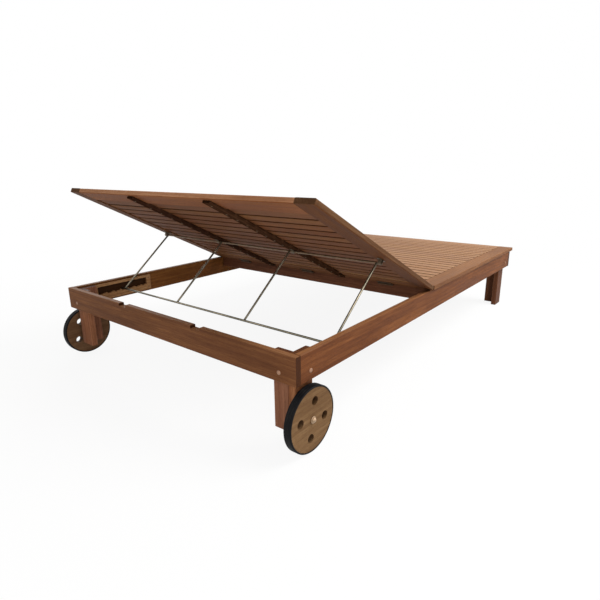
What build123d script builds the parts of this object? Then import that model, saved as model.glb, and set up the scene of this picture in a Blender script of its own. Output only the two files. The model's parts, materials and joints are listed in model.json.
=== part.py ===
from build123d import *
import os
from math import atan2, cos, degrees, hypot, radians, sin, sqrt

# A double chaise lounger in oiled hardwood: a bed frame on four legs, the two at the head short
# and on wheels, a fixed slatted deck, and a slatted backrest that a steel prop frame holds up.
# Millimetres. Origin on the floor under the middle of the whole piece, +Z up, +Y to the head end.
# Left and right are those of someone lying on their back with the head at +Y: left is at +X.

# Bed frame
frame_length = 2000
frame_width = 1282
rail_height = 90
rail_thickness = 22
rail_underside = 223
rail_bevel = 2
crossrail_height = 51
crossrail_thickness = 22

# Slatted panels: the fixed deck and the backrest
panel_overhang = 9
panel_thickness = 18
stile_width = 72
border_width = 79
panel_bevel = 2
slat_width = 44
slat_thickness = 14
slat_bevel = 1.5
slat_gap_least = 6
slats_in_group = 5
back_length = 898
deck_foot_overhang = 16
tongue_thickness = 6
tongue_length = 10
tongue_end_gap = 1
tongue_setback = 12

# Battens along the undersides of the panels
batten_width = 35
batten_drop = 9
batten_spacing = 430
batten_bevel = 1.5
batten_start = 20
batten_stop_short = 12

# Legs: two boards each, at right angles inside a corner of the frame
leg_board_width = 82
leg_board_thickness = 25
leg_top_drop = 7
head_leg_lift = 58
leg_bevel = 2

# Bolts through each rail into its leg board
bolt_radius = 4
bolt_height = 30
side_bolt_inset = 67
end_bolt_inset = 63
bolt_head_radius = 7
bolt_head_rise = 3
bolt_hole_play = 0.25
bolt_tail = 3
nut_radius = 7.5
nut_height = 6.5
washer_radius = 9
washer_thickness = 1.5
thread_play = 0.05

# Wheels on the head legs
wheel_radius = 104
axle_inset = 58
tyre_thickness = 5
tyre_width = 26
tyre_bevel = 2.5
tyre_play = 0.05
disc_width = 24
disc_hole_radius = 14
disc_hole_circle = 58
disc_hole_count = 4
disc_hole_turn_left = 35
disc_hole_turn_right = 10
bush_wall = 2
bush_seat_play = 0.05
axle_radius = 5
axle_play = 0.05
spacer_radius = 11
spacer_length = 10
wheel_side_play = 0.3
cap_washer_radius = 11
cap_washer_thickness = 1.5
cap_radius = 9
cap_base_height = 3
cap_crown_radius = 7
cap_crown_height = 4
axle_nut_radius = 9.8
axle_nut_height = 8
axle_tail = 3

# Hinges between the bed frame and the backrest
hinge_to_frame_end = 879
hinge_count = 3
hinge_spacing = 430
hinge_length = 70
hinge_knuckles = 3
hinge_leaf_width = 24
hinge_leaf_thickness = 2
leaf_recess_play = 0.3
hinge_barrel_radius = 4
hinge_pin_radius = 2
hinge_gap = 0.3
knuckle_play = 0.3
pin_play = 0.05
back_edge_setback = 3
swing_clearance = 1.4

# Tilt of the backrest above flat, as it stands and at its steepest
back_angle = 26.6
back_angle_max = 37.6

# Steel prop frame under the backrest
rod_radius = 4
rod_reach = 412
rod_gap = 0.3
rest_bar_gap = 0.3
bar_end_clearance = 1
strut_inner_spacing = 398
strut_rack_clearance = 9
weld_gap = 0.05

# Straps that hold the upper rod under the battens and the stiles
strap_width = 14
strap_thickness = 2
strap_foot = 14
strap_play = 0.3
strap_strut_clearance = 2
strap_shift_on_batten = 4
rod_end_past_strap = 2

# Racks on the side rails: a board with a closed slot whose floor is a row of teeth
rack_thickness = 12
rack_foot_above_rail = 9
rack_top_drop = 8
rack_bevel = 1.5
rack_post_foot = 24
rack_post_head = 10.1
slot_head_margin = 4.7
slot_foot_margin = 13
slot_floor_height = 29.7
slot_height = 32
slot_corner_radius = 3
notch_depth = 6
notch_wall_play = 2
notch_crest = 3
notch_pitch = 36
notches_steeper = 3
notches_flatter = 2

# Notches in the head rail that take the battens when the backrest lies flat
rail_notch_depth = 10
rail_notch_play = 4.5

# Overrun of a cut past a face
overrun = 1

# Places along and up the bed frame
whole_length = deck_foot_overhang + frame_length + wheel_radius - axle_inset
deck_foot_y = -whole_length / 2
frame_foot_y = deck_foot_y + deck_foot_overhang
frame_head_y = frame_foot_y + frame_length
foot_rail_inner_y = frame_foot_y + rail_thickness
head_rail_inner_y = frame_head_y - rail_thickness
axle_y = frame_head_y - axle_inset
rail_top = rail_underside + rail_height
rail_outer_x = frame_width / 2
rail_inner_x = rail_outer_x - rail_thickness
leg_inner_x = rail_inner_x - leg_board_width
leg_side_inner_x = rail_inner_x - leg_board_thickness
leg_top = rail_top - leg_top_drop
panel_width = frame_width + 2 * panel_overhang
bolt_z = rail_underside + bolt_height
side_bolt_y_head = frame_head_y - side_bolt_inset
side_bolt_y_foot = frame_foot_y + side_bolt_inset
end_bolt_x = rail_outer_x - end_bolt_inset

# The hinge axis, along X, stands just off the crossrail's head face and below its top
hinge_axis_y = frame_head_y - hinge_to_frame_end
hinge_axis_z = rail_top - hinge_barrel_radius - hinge_gap
crossrail_head_y = hinge_axis_y - hinge_barrel_radius - hinge_gap
crossrail_foot_y = crossrail_head_y - crossrail_thickness

# The backrest's own frame has its origin on the hinge axis
tilt = radians(back_angle)
back_plane = Plane(
    origin=(0, hinge_axis_y, hinge_axis_z),
    x_dir=(1, 0, 0),
    z_dir=(0, -sin(tilt), cos(tilt)),
)
back_under = hinge_barrel_radius + hinge_gap
back_top = back_under + panel_thickness
back_low = back_edge_setback
back_high = back_low + back_length
stile_inner_x = panel_width / 2 - stile_width
batten_x = batten_spacing / 2

# The deck ends where the backrest's upper edge can swing past it
steepest = radians(back_angle_max)
edge_swing = back_top * sin(steepest) - back_edge_setback * cos(steepest)
deck_head_y = hinge_axis_y - edge_swing - swing_clearance

# The prop frame: its upper rod lies under the battens, its rest bar over the racks' notches
rod_local_z = back_under - batten_drop - rod_gap - rod_radius
rod_y = hinge_axis_y + rod_reach * cos(tilt) - rod_local_z * sin(tilt)
rod_z = hinge_axis_z + rod_reach * sin(tilt) + rod_local_z * cos(tilt)
crest_z = rail_underside + rack_foot_above_rail + slot_floor_height
bar_z = crest_z + rest_bar_gap + rod_radius
rack_inner_x = rail_inner_x - rack_thickness
strut_outer_x = rack_inner_x - strut_rack_clearance - rod_radius
strap_outer_x = strut_outer_x + rod_radius + strap_strut_clearance + strap_width / 2
strap_inner_x = batten_x + strap_shift_on_batten
rod_end_x = strap_outer_x + strap_width / 2 + rod_end_past_strap
bar_end_x = rail_inner_x - bar_end_clearance
strut_xs = (-strut_outer_x, -strut_inner_spacing / 2, strut_inner_spacing / 2, strut_outer_x)

# The racks butt against the head legs, and with the backrest flat the rest bar lies
# near the head end of the slots, which sets the length of the struts
rack_head_y = head_rail_inner_y - leg_board_width
slot_head_y = rack_head_y - rack_post_head
flat_bar_y = slot_head_y - slot_head_margin - rod_radius
flat_rod_y = hinge_axis_y + rod_reach
flat_rod_z = hinge_axis_z + rod_local_z
strut_length = hypot(flat_bar_y - flat_rod_y, flat_rod_z - bar_z)
bar_y = rod_y + sqrt(strut_length**2 - (rod_z - bar_z) ** 2)
strut_fall = atan2(rod_z - bar_z, bar_y - rod_y)

# As the backrest tilts, the struts turn so that the rest bar keeps its height near rest
swing_ratio = (rod_y - hinge_axis_y) / (bar_y - rod_y)

# Each valley between the teeth ends in a steep wall on the bar's head side
slot_foot_y = bar_y - notches_steeper * notch_pitch - rod_radius - slot_foot_margin
rack_foot_y = slot_foot_y - rack_post_foot
rack_under = rail_underside + rack_foot_above_rail
rack_top = rail_top - rack_top_drop
notch_ys = [bar_y + i * notch_pitch for i in range(-notches_steeper, notches_flatter + 1)]
notch_walls = [y + rod_radius + notch_wall_play for y in notch_ys]

# Wheels run between a spacer on the leg and the washer under the axle's cap
wheel_inner_x = rail_inner_x + spacer_length + wheel_side_play
cap_seat_x = wheel_inner_x + tyre_width + wheel_side_play
bush_bore = axle_radius + axle_play
bush_radius = bush_bore + bush_wall

sides = (("left", 1), ("right", -1))
ends = (("head", head_rail_inner_y, 1), ("foot", foot_rail_inner_y, -1))


def save(piece, name):
    """Label a finished piece and write it."""
    piece.part.label = name
    export_step(piece.part, f"parts/{name}.step")


def ordered(a, b):
    return (min(a, b), max(a, b))


def plank(base, across, along, up, grain, bevel):
    """A board between two places on each axis of its plane, bevelled along the grain."""
    with BuildPart() as board:
        with BuildSketch(base.offset(up[0])):
            with Locations(((across[0] + across[1]) / 2, (along[0] + along[1]) / 2)):
                Rectangle(across[1] - across[0], along[1] - along[0])
        extrude(amount=up[1] - up[0])
        chamfer(board.edges().filter_by(Axis((0, 0, 0), grain)), bevel)
    return board


def side_rails():
    for name, side in sides:
        across = ordered(side * rail_inner_x, side * rail_outer_x)
        along = (foot_rail_inner_y, head_rail_inner_y)
        board = plank(Plane.XY, across, along, (rail_underside, rail_top), (0, 1, 0), rail_bevel)
        inner_face = Plane(origin=(side * rail_inner_x, 0, 0), x_dir=(0, 1, 0), z_dir=(1, 0, 0))
        with BuildPart() as rail:
            add(board.part)
            with BuildSketch(inner_face):
                with Locations((side_bolt_y_head, bolt_z), (side_bolt_y_foot, bolt_z)):
                    Circle(bolt_radius + bolt_hole_play)
            extrude(amount=rail_thickness + overrun, both=True, mode=Mode.SUBTRACT)
        save(rail, f"side_rail_{name}")


def end_rails():
    """The head and foot rails lap over the ends of the side rails."""
    for name, inner_y, outward in ends:
        along = ordered(inner_y, inner_y + outward * rail_thickness)
        across = (-rail_outer_x, rail_outer_x)
        board = plank(Plane.XY, across, along, (rail_underside, rail_top), (1, 0, 0), rail_bevel)
        inner_face = Plane(origin=(0, inner_y, 0), x_dir=(1, 0, 0), z_dir=(0, -1, 0))
        with BuildPart() as rail:
            add(board.part)
            with BuildSketch(inner_face):
                with Locations((-end_bolt_x, bolt_z), (end_bolt_x, bolt_z)):
                    Circle(bolt_radius + bolt_hole_play)
            extrude(amount=rail_thickness + overrun, both=True, mode=Mode.SUBTRACT)
            if name == "head":
                with BuildSketch(inner_face):
                    with Locations((-batten_x, rail_top), (batten_x, rail_top)):
                        Rectangle(batten_width + 2 * rail_notch_play, 2 * rail_notch_depth)
                extrude(amount=rail_thickness + overrun, both=True, mode=Mode.SUBTRACT)
        save(rail, f"{name}_rail")

    up = (rail_top - crossrail_height, rail_top)
    along = (crossrail_foot_y, crossrail_head_y)
    board = plank(Plane.XY, (-rail_inner_x, rail_inner_x), along, up, (1, 0, 0), rail_bevel)
    recess_reach = hinge_leaf_width + leaf_recess_play
    with BuildPart() as crossrail:
        add(board.part)
        with BuildSketch(Plane.XY.offset(rail_top)):
            with Locations([(x, hinge_axis_y - recess_reach / 2) for x in hinge_middles()]):
                Rectangle(hinge_length + 2 * leaf_recess_play, recess_reach)
        extrude(amount=-hinge_leaf_thickness, mode=Mode.SUBTRACT)
    save(crossrail, "mid_crossrail")


def legs():
    """Each leg is a side board, which carries the axle at the head, and an end board."""
    for end, inner_y, outward in ends:
        foot_z = head_leg_lift if end == "head" else 0
        for name, side in sides:
            across = ordered(side * leg_side_inner_x, side * rail_inner_x)
            along = ordered(inner_y, inner_y - outward * leg_board_width)
            board = plank(Plane.XY, across, along, (foot_z, leg_top), (0, 0, 1), leg_bevel)
            bolt_y = side_bolt_y_head if end == "head" else side_bolt_y_foot
            face = Plane(origin=(side * rail_inner_x, 0, 0), x_dir=(0, 1, 0), z_dir=(1, 0, 0))
            with BuildPart() as side_board:
                add(board.part)
                with BuildSketch(face):
                    with Locations((bolt_y, bolt_z)):
                        Circle(bolt_radius + bolt_hole_play)
                    if end == "head":
                        with Locations((axle_y, wheel_radius)):
                            Circle(axle_radius + bolt_hole_play)
                extrude(amount=leg_board_thickness + overrun, both=True, mode=Mode.SUBTRACT)
            save(side_board, f"{end}_leg_{name}_side_board")

            across = ordered(side * leg_inner_x, side * leg_side_inner_x)
            along = ordered(inner_y, inner_y - outward * leg_board_thickness)
            board = plank(Plane.XY, across, along, (foot_z, leg_top), (0, 0, 1), leg_bevel)
            face = Plane(origin=(0, inner_y, 0), x_dir=(1, 0, 0), z_dir=(0, -1, 0))
            with BuildPart() as end_board:
                add(board.part)
                with BuildSketch(face):
                    with Locations((side * end_bolt_x, bolt_z)):
                        Circle(bolt_radius + bolt_hole_play)
                extrude(amount=leg_board_thickness + overrun, both=True, mode=Mode.SUBTRACT)
            save(end_board, f"{end}_leg_{name}_end_board")


def bolt_planes():
    """A plane on each rail's outer face at each bolt, facing out."""
    planes = []
    for _, side in sides:
        for bolt_y in (side_bolt_y_head, side_bolt_y_foot):
            origin = (side * rail_outer_x, bolt_y, bolt_z)
            planes.append(Plane(origin=origin, x_dir=(0, 0, 1), z_dir=(side, 0, 0)))
        for _, inner_y, outward in ends:
            origin = (side * end_bolt_x, inner_y + outward * rail_thickness, bolt_z)
            planes.append(Plane(origin=origin, x_dir=(0, 0, 1), z_dir=(0, outward, 0)))
    return planes


def leg_bolts():
    grip = rail_thickness + leg_board_thickness
    shank = grip + washer_thickness + nut_height + bolt_tail
    with BuildPart() as bolts:
        for plane in bolt_planes():
            with BuildSketch(plane):
                Circle(bolt_head_radius)
            extrude(amount=bolt_head_rise)
            with BuildSketch(plane):
                Circle(bolt_radius)
            extrude(amount=-shank)
    save(bolts, "leg_bolts")

    with BuildPart() as nuts:
        for plane in bolt_planes():
            with BuildSketch(plane.offset(-grip)):
                Circle(washer_radius)
                Circle(bolt_radius + thread_play, mode=Mode.SUBTRACT)
            extrude(amount=-washer_thickness)
            with BuildSketch(plane.offset(-grip - washer_thickness)):
                RegularPolygon(nut_radius, 6)
                Circle(bolt_radius + thread_play, mode=Mode.SUBTRACT)
            extrude(amount=-nut_height)
    save(nuts, "leg_nuts_and_washers")


def racks():
    """The floor of each slot falls gently to the foot of a steep wall at every notch."""
    walls = notch_walls + [slot_head_y]
    crests = [slot_foot_y] + notch_walls
    for name, side in sides:
        across = ordered(side * rack_inner_x, side * rail_inner_x)
        up = (rack_under, rack_top)
        board = plank(Plane.XY, across, (rack_foot_y, rack_head_y), up, (0, 1, 0), rack_bevel)
        face = Plane(origin=(side * rail_inner_x, 0, 0), x_dir=(0, 1, 0), z_dir=(1, 0, 0))
        with BuildPart() as rack:
            add(board.part)
            with BuildSketch(face) as slot:
                with Locations(((slot_foot_y + slot_head_y) / 2, crest_z + slot_height / 2)):
                    Rectangle(slot_head_y - slot_foot_y, slot_height)
                fillet(slot.vertices().sort_by(Axis.Y)[-2:], slot_corner_radius)
                for wall_y, crest_y in zip(walls, crests):
                    with BuildLine():
                        Polyline(
                            (wall_y, crest_z),
                            (wall_y, crest_z - notch_depth),
                            (crest_y + notch_crest, crest_z),
                            close=True,
                        )
                    make_face()
            extrude(amount=rack_thickness + overrun, both=True, mode=Mode.SUBTRACT)
        save(rack, f"rack_{name}")


def slat_middles(low, high, count):
    """Middles of evenly spaced slats between two borders."""
    gap = (high - low - count * slat_width) / (count + 1)
    return [low + gap + slat_width / 2 + i * (slat_width + gap) for i in range(count)]


def crosspieces(base, middles, top, size, setbacks):
    """Boards across a panel, with a tongue on each end that fits the stiles' grooves."""
    width, thickness, bevel = size
    grain = Axis((0, 0, 0), base.x_dir)
    tongue_top = top - (slat_thickness - tongue_thickness) / 2
    with BuildPart() as boards:
        with BuildSketch(base.offset(top)):
            with Locations([(0, middle) for middle in middles]):
                Rectangle(2 * stile_inner_x, width)
        extrude(amount=-thickness)
        chamfer(boards.edges().filter_by(grain), bevel)
        with BuildSketch(base.offset(tongue_top)):
            with Locations([(0, middle + (setbacks[0] - setbacks[1]) / 2) for middle in middles]):
                Rectangle(2 * (stile_inner_x + tongue_length), width - setbacks[0] - setbacks[1])
        extrude(amount=-tongue_thickness)
    return boards


def panel(base, under, low, high, name, end_names):
    """Stiles, borders and slats: the stiles run the whole length, the rest sits between them."""
    top = under + panel_thickness
    grain = base.y_dir
    groove_mid = top - slat_thickness / 2
    for side_name, side in sides:
        across = ordered(side * stile_inner_x, side * panel_width / 2)
        board = plank(base, across, (low, high), (under, top), grain, panel_bevel)
        with BuildPart() as stile:
            add(board.part)
            with BuildSketch(base.offset(groove_mid)):
                with Locations((side * stile_inner_x, (low + high) / 2)):
                    Rectangle(2 * (tongue_length + tongue_end_gap), high - low - 2 * tongue_setback)
            extrude(amount=tongue_thickness / 2, both=True, mode=Mode.SUBTRACT)
        save(stile, f"{name}_stile_{side_name}")

    low_border = (low + border_width / 2, (tongue_setback, 0))
    high_border = (high - border_width / 2, (0, tongue_setback))
    for end_name, (middle, setbacks) in zip(end_names, (low_border, high_border)):
        size = (border_width, panel_thickness, panel_bevel)
        save(crosspieces(base, [middle], top, size, setbacks), f"{name}_border_{end_name}")

    room = high - low - 2 * border_width - slat_gap_least
    slat_count = int(room // (slat_width + slat_gap_least))
    middles = slat_middles(low + border_width, high - border_width, slat_count)
    for number, first in enumerate(range(0, slat_count, slats_in_group), 1):
        group = middles[first : first + slats_in_group]
        size = (slat_width, slat_thickness, slat_bevel)
        save(crosspieces(base, group, top, size, (0, 0)), f"{name}_slats_{number}")


def battens(base, under, along, borders, name):
    """A batten along the slats on each side, halved where it passes under the borders."""
    for side_name, side in sides:
        across = ordered(side * batten_x - batten_width / 2, side * batten_x + batten_width / 2)
        up = (under - batten_drop, under)
        board = plank(base, across, along, up, base.y_dir, batten_bevel)
        with BuildPart() as batten:
            add(board.part)
            with BuildSketch(base.offset(under - batten_drop + batten_bevel)):
                with Locations((side * batten_x, (borders[0] + borders[1]) / 2)):
                    Rectangle(batten_width, borders[1] - borders[0])
            extrude(amount=batten_drop - batten_bevel + panel_thickness - slat_thickness)
        save(batten, f"{name}_batten_{side_name}")


def hinge_middles():
    first = -(hinge_count - 1) / 2
    return [(first + i) * hinge_spacing for i in range(hinge_count)]


def hinge_leaves(leaf_plane, axis_plane, knuckles, name):
    """One leaf of each hinge: a plate that runs down its plane's y axis, and its knuckles."""
    pitch = hinge_length / hinge_knuckles
    clear = hinge_barrel_radius + knuckle_play
    knuckle = pitch - knuckle_play
    with BuildPart() as leaves:
        for middle in hinge_middles():
            knuckle_xs = [middle + (k - (hinge_knuckles - 1) / 2) * pitch for k in knuckles]
            with BuildSketch(leaf_plane):
                with Locations((middle, (clear + hinge_leaf_width) / 2)):
                    Rectangle(hinge_length, hinge_leaf_width - clear)
                with Locations([(x, clear / 2) for x in knuckle_xs]):
                    Rectangle(knuckle, clear)
            extrude(amount=hinge_leaf_thickness)
            for x in knuckle_xs:
                with BuildSketch(axis_plane.offset(x)):
                    Circle(hinge_barrel_radius)
                extrude(amount=knuckle / 2, both=True)
        with BuildSketch(axis_plane):
            Circle(hinge_pin_radius + pin_play)
        extrude(amount=panel_width / 2, both=True, mode=Mode.SUBTRACT)
    save(leaves, name)


def hinges():
    axis_point = (0, hinge_axis_y, hinge_axis_z)
    axis_plane = Plane(origin=axis_point, x_dir=(0, 1, 0), z_dir=(1, 0, 0))
    over_the_crossrail = Plane(origin=(0, hinge_axis_y, rail_top), x_dir=(1, 0, 0), z_dir=(0, 0, -1))
    under_the_panel = Plane(
        origin=back_plane.offset(back_under).origin,
        x_dir=(-1, 0, 0),
        z_dir=(0, sin(tilt), -cos(tilt)),
    )
    outer_knuckles = range(0, hinge_knuckles, 2)
    inner_knuckles = range(1, hinge_knuckles, 2)
    hinge_leaves(over_the_crossrail, axis_plane, outer_knuckles, "hinge_leaves_crossrail")
    hinge_leaves(under_the_panel, axis_plane, inner_knuckles, "hinge_leaves_backrest")

    with BuildPart() as pins:
        for middle in hinge_middles():
            with BuildSketch(axis_plane.offset(middle)):
                Circle(hinge_pin_radius)
            extrude(amount=hinge_length / 2, both=True)
    save(pins, "hinge_pins")


def prop_frame():
    """Two rods along X joined by four struts, whose ends are shaped to the rods."""
    rod_plane = Plane(origin=(0, rod_y, rod_z), x_dir=(0, 1, 0), z_dir=(1, 0, 0))
    bar_plane = Plane(origin=(0, bar_y, bar_z), x_dir=(0, 1, 0), z_dir=(1, 0, 0))
    with BuildPart() as upper_rod:
        with BuildSketch(rod_plane):
            Circle(rod_radius)
        extrude(amount=rod_end_x, both=True)
    save(upper_rod, "prop_upper_rod")

    with BuildPart() as rest_bar:
        with BuildSketch(bar_plane):
            Circle(rod_radius)
        extrude(amount=bar_end_x, both=True)
    save(rest_bar, "prop_rest_bar")

    for number, strut_x in enumerate(strut_xs, 1):
        start = Plane(
            origin=(strut_x, rod_y, rod_z),
            x_dir=(1, 0, 0),
            z_dir=(0, cos(strut_fall), -sin(strut_fall)),
        )
        with BuildPart() as strut:
            with BuildSketch(start):
                Circle(rod_radius)
            extrude(amount=strut_length)
            for plane in (rod_plane, bar_plane):
                with BuildSketch(plane.offset(strut_x)):
                    Circle(rod_radius + weld_gap)
                extrude(amount=rod_radius + overrun, both=True, mode=Mode.SUBTRACT)
        save(strut, f"prop_strut_{number}")


def straps(xs, carrier_under, name):
    """Bent straps round the upper rod, their feet flat against what carries them."""
    inner = rod_radius + strap_play
    outer = inner + strap_thickness
    depth = carrier_under - rod_local_z
    with BuildPart() as group:
        for strap_x in xs:
            section = Plane(
                origin=back_plane.from_local_coords((strap_x, rod_reach, rod_local_z)),
                x_dir=back_plane.y_dir,
                z_dir=(1, 0, 0),
            )
            with BuildSketch(section):
                Circle(outer)
                with Locations((0, depth / 2)):
                    Rectangle(2 * outer, depth)
                with Locations((0, depth - strap_thickness / 2)):
                    Rectangle(2 * (outer + strap_foot), strap_thickness)
                Circle(inner, mode=Mode.SUBTRACT)
                with Locations((0, depth / 2)):
                    Rectangle(2 * inner, depth, mode=Mode.SUBTRACT)
                with Locations((0, depth + outer / 2)):
                    Rectangle(2 * outer, outer, mode=Mode.SUBTRACT)
            extrude(amount=strap_width / 2, both=True)
    save(group, name)


def wheel_plane(side):
    """A plane on the inner face of a wheel, at the axle, facing out."""
    origin = (side * wheel_inner_x, axle_y, wheel_radius)
    return Plane(origin=origin, x_dir=(0, 0, 1), z_dir=(side, 0, 0))


def wheels():
    rim_radius = wheel_radius - tyre_thickness
    hole_turns = (disc_hole_turn_left, disc_hole_turn_right)
    for (name, side), hole_turn in zip(sides, hole_turns):
        plane = wheel_plane(side)
        with BuildPart() as tyre:
            with BuildSketch(plane):
                Circle(wheel_radius)
                Circle(rim_radius, mode=Mode.SUBTRACT)
            extrude(amount=tyre_width)
            tread = tyre.edges().filter_by(GeomType.CIRCLE).sort_by(SortBy.RADIUS)[-2:]
            chamfer(tread, tyre_bevel)
        save(tyre, f"tyre_{name}")

        with BuildPart() as disc:
            with BuildSketch(plane.offset((tyre_width - disc_width) / 2)):
                Circle(rim_radius - tyre_play)
            extrude(amount=disc_width)
            with BuildSketch(plane):
                Circle(bush_radius + bush_seat_play)
                with PolarLocations(disc_hole_circle, disc_hole_count, -hole_turn):
                    Circle(disc_hole_radius)
            extrude(amount=tyre_width, mode=Mode.SUBTRACT)
        save(disc, f"wheel_disc_{name}")

        with BuildPart() as bush:
            with BuildSketch(plane):
                Circle(bush_radius)
                Circle(bush_bore, mode=Mode.SUBTRACT)
            extrude(amount=tyre_width)
        save(bush, f"wheel_bush_{name}")


def axles():
    """Each axle is a bolt with a hexagon cap outside its wheel and a nut inside its leg."""
    seat = cap_seat_x - wheel_inner_x
    shank = cap_seat_x - leg_side_inner_x + axle_nut_height + axle_tail
    with BuildPart() as axle_bolts:
        for _, side in sides:
            plane = wheel_plane(side)
            with BuildSketch(plane.offset(seat)):
                Circle(axle_radius)
            extrude(amount=-shank)
            with BuildSketch(plane.offset(seat)):
                Circle(cap_washer_radius)
            extrude(amount=cap_washer_thickness)
            with BuildSketch(plane.offset(seat + cap_washer_thickness)):
                RegularPolygon(cap_radius, 6)
            extrude(amount=cap_base_height)
            with BuildSketch(plane.offset(seat + cap_washer_thickness + cap_base_height)):
                Circle(cap_crown_radius)
            extrude(amount=cap_crown_height)
    save(axle_bolts, "axle_bolts")

    with BuildPart() as spacers:
        for _, side in sides:
            with BuildSketch(wheel_plane(side).offset(-wheel_side_play)):
                Circle(spacer_radius)
                Circle(axle_radius + thread_play, mode=Mode.SUBTRACT)
            extrude(amount=-spacer_length)
    save(spacers, "axle_spacers")

    with BuildPart() as nuts:
        for _, side in sides:
            with BuildSketch(wheel_plane(side).offset(leg_side_inner_x - wheel_inner_x)):
                RegularPolygon(axle_nut_radius, 6)
                Circle(axle_radius + thread_play, mode=Mode.SUBTRACT)
            extrude(amount=-axle_nut_height)
    save(nuts, "axle_nuts")


os.makedirs("parts", exist_ok=True)
side_rails()
end_rails()
legs()
leg_bolts()
racks()
panel(Plane.XY, rail_top, deck_foot_y, deck_head_y, "deck", ("foot", "head"))
panel(back_plane, back_under, back_low, back_high, "backrest", ("hinge", "head"))
battens(
    Plane.XY,
    rail_top,
    (foot_rail_inner_y, crossrail_foot_y),
    (deck_foot_y + border_width, deck_head_y - border_width),
    "deck",
)
battens(
    back_plane,
    back_under,
    (batten_start, back_high - batten_stop_short),
    (back_low + border_width, back_high - border_width),
    "backrest",
)
hinges()
prop_frame()
straps((-strap_inner_x, strap_inner_x), back_under - batten_drop, "batten_straps")
straps((-strap_outer_x, strap_outer_x), back_under, "stile_straps")
wheels()
axles()

print("hinge axis y, z:", round(hinge_axis_y, 3), round(hinge_axis_z, 3))
print("upper rod y, z:", round(rod_y, 3), round(rod_z, 3))
print("rest bar y, z:", round(bar_y, 3), round(bar_z, 3))
print("strut length, fall:", round(strut_length, 3), round(degrees(strut_fall), 3))
print("prop turns per turn of the backrest:", round(-1 - swing_ratio, 4))
print("slot from, to:", round(slot_foot_y, 2), round(slot_head_y, 2))
print("frame's head end, axle:", round(frame_head_y, 2), round(axle_y, 2))
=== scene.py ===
import json
import math
from collections import namedtuple

import bmesh
import bpy
from mathutils import Matrix, Vector


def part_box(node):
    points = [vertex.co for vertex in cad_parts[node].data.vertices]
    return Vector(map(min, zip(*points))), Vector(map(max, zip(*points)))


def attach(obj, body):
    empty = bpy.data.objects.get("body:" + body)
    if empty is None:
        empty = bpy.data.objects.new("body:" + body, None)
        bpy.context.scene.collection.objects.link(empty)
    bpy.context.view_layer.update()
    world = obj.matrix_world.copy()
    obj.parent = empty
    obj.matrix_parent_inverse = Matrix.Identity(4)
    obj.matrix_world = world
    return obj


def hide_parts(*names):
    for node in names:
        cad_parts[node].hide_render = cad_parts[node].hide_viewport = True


# The looks of a wooden double lounger: oiled hardwood boards, zinc plated steel, rubber tyres.
# Metres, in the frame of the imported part: +Z up, +Y to the head end.

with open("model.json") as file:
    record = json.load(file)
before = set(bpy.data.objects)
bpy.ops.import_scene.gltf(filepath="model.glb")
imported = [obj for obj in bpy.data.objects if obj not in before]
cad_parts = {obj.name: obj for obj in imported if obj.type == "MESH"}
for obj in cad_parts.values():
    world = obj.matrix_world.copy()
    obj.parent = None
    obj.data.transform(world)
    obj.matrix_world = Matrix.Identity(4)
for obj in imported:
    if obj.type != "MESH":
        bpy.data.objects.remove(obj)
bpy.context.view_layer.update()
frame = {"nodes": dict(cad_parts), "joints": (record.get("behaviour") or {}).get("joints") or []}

# Camera, solved from the photograph
CAMERA_PLACE = Vector((-1.3831, 1.8816, 0.8139))
CAMERA_AZIMUTH = math.radians(218.942)
CAMERA_ELEVATION = math.radians(16.158)
CAMERA_ROLL = math.radians(-0.717)
CAMERA_LENS = 27.94
SENSOR = 36.0

# Lamps: where each stands, what it is aimed at, its size and its power
LAMPS = {
    "key": ((-2.6, -1.4, 3.4), (0.0, 0.0, 0.3), 2.2, 180.0),
    "front": ((-2.4, 3.6, 1.8), (0.0, 0.2, 0.3), 2.6, 60.0),
    "fill": ((3.4, -0.8, 1.5), (0.0, 0.0, 0.3), 2.6, 36.0),
}
WORLD_LIGHT = 0.42
WHITE = (1.0, 1.0, 1.0, 1.0)

# The floor is a little short of white near the object and fades to white further out
FLOOR_REACH = 30.0
FLOOR_COLOUR = (0.86, 0.86, 0.85, 1.0)
FLOOR_WHITENESS = 0.9
FLOOR_FADE = (1.2, 2.6)

# The backrest at rest is turned by its tilt about the hinge axis
JOINT_PLACES = {joint["name"]: Vector(joint["pos_m"]) for joint in frame["joints"]}
HINGE = JOINT_PLACES["backrest_tilt"]
ROD = JOINT_PLACES["prop_swing"]
BACK_TILT = math.radians(26.6)
BACK = Matrix.Translation(HINGE) @ Matrix.Rotation(BACK_TILT, 4, "X")

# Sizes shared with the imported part
SIDES = (("left", 1.0), ("right", -1.0))
DECK_GROUPS = [f"deck_slats_{i}" for i in range(1, 5)]
BACK_GROUPS = [f"backrest_slats_{i}" for i in range(1, 4)]
SLAT_WIDTH = 0.044
SLATS_IN_GROUP = 5
BATTEN_WIDTH = 0.035
STRAP_WIDTH = 0.014
STRAP_FOOT = 0.0133
STRAP_THICKNESS = 0.002
HINGE_LENGTH = 0.07
HINGE_LEAF_FROM = 0.0043
HINGE_LEAF_TO = 0.024
RACK_FOOT_POST = 0.024
RACK_HEAD_POST = 0.0101

# Screws: how far a batten's screws keep from its strap, and where the others sit
STRAP_REACH = 0.022
HINGE_SCREW_STEPS = (-0.024, 0.0, 0.024)
RACK_SCREW_INSET = 0.014
BATTEN_SCREW_RADIUS = 0.0034
HINGE_SCREW_RADIUS = 0.003
SMALL_SCREW_RADIUS = 0.0027

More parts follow.
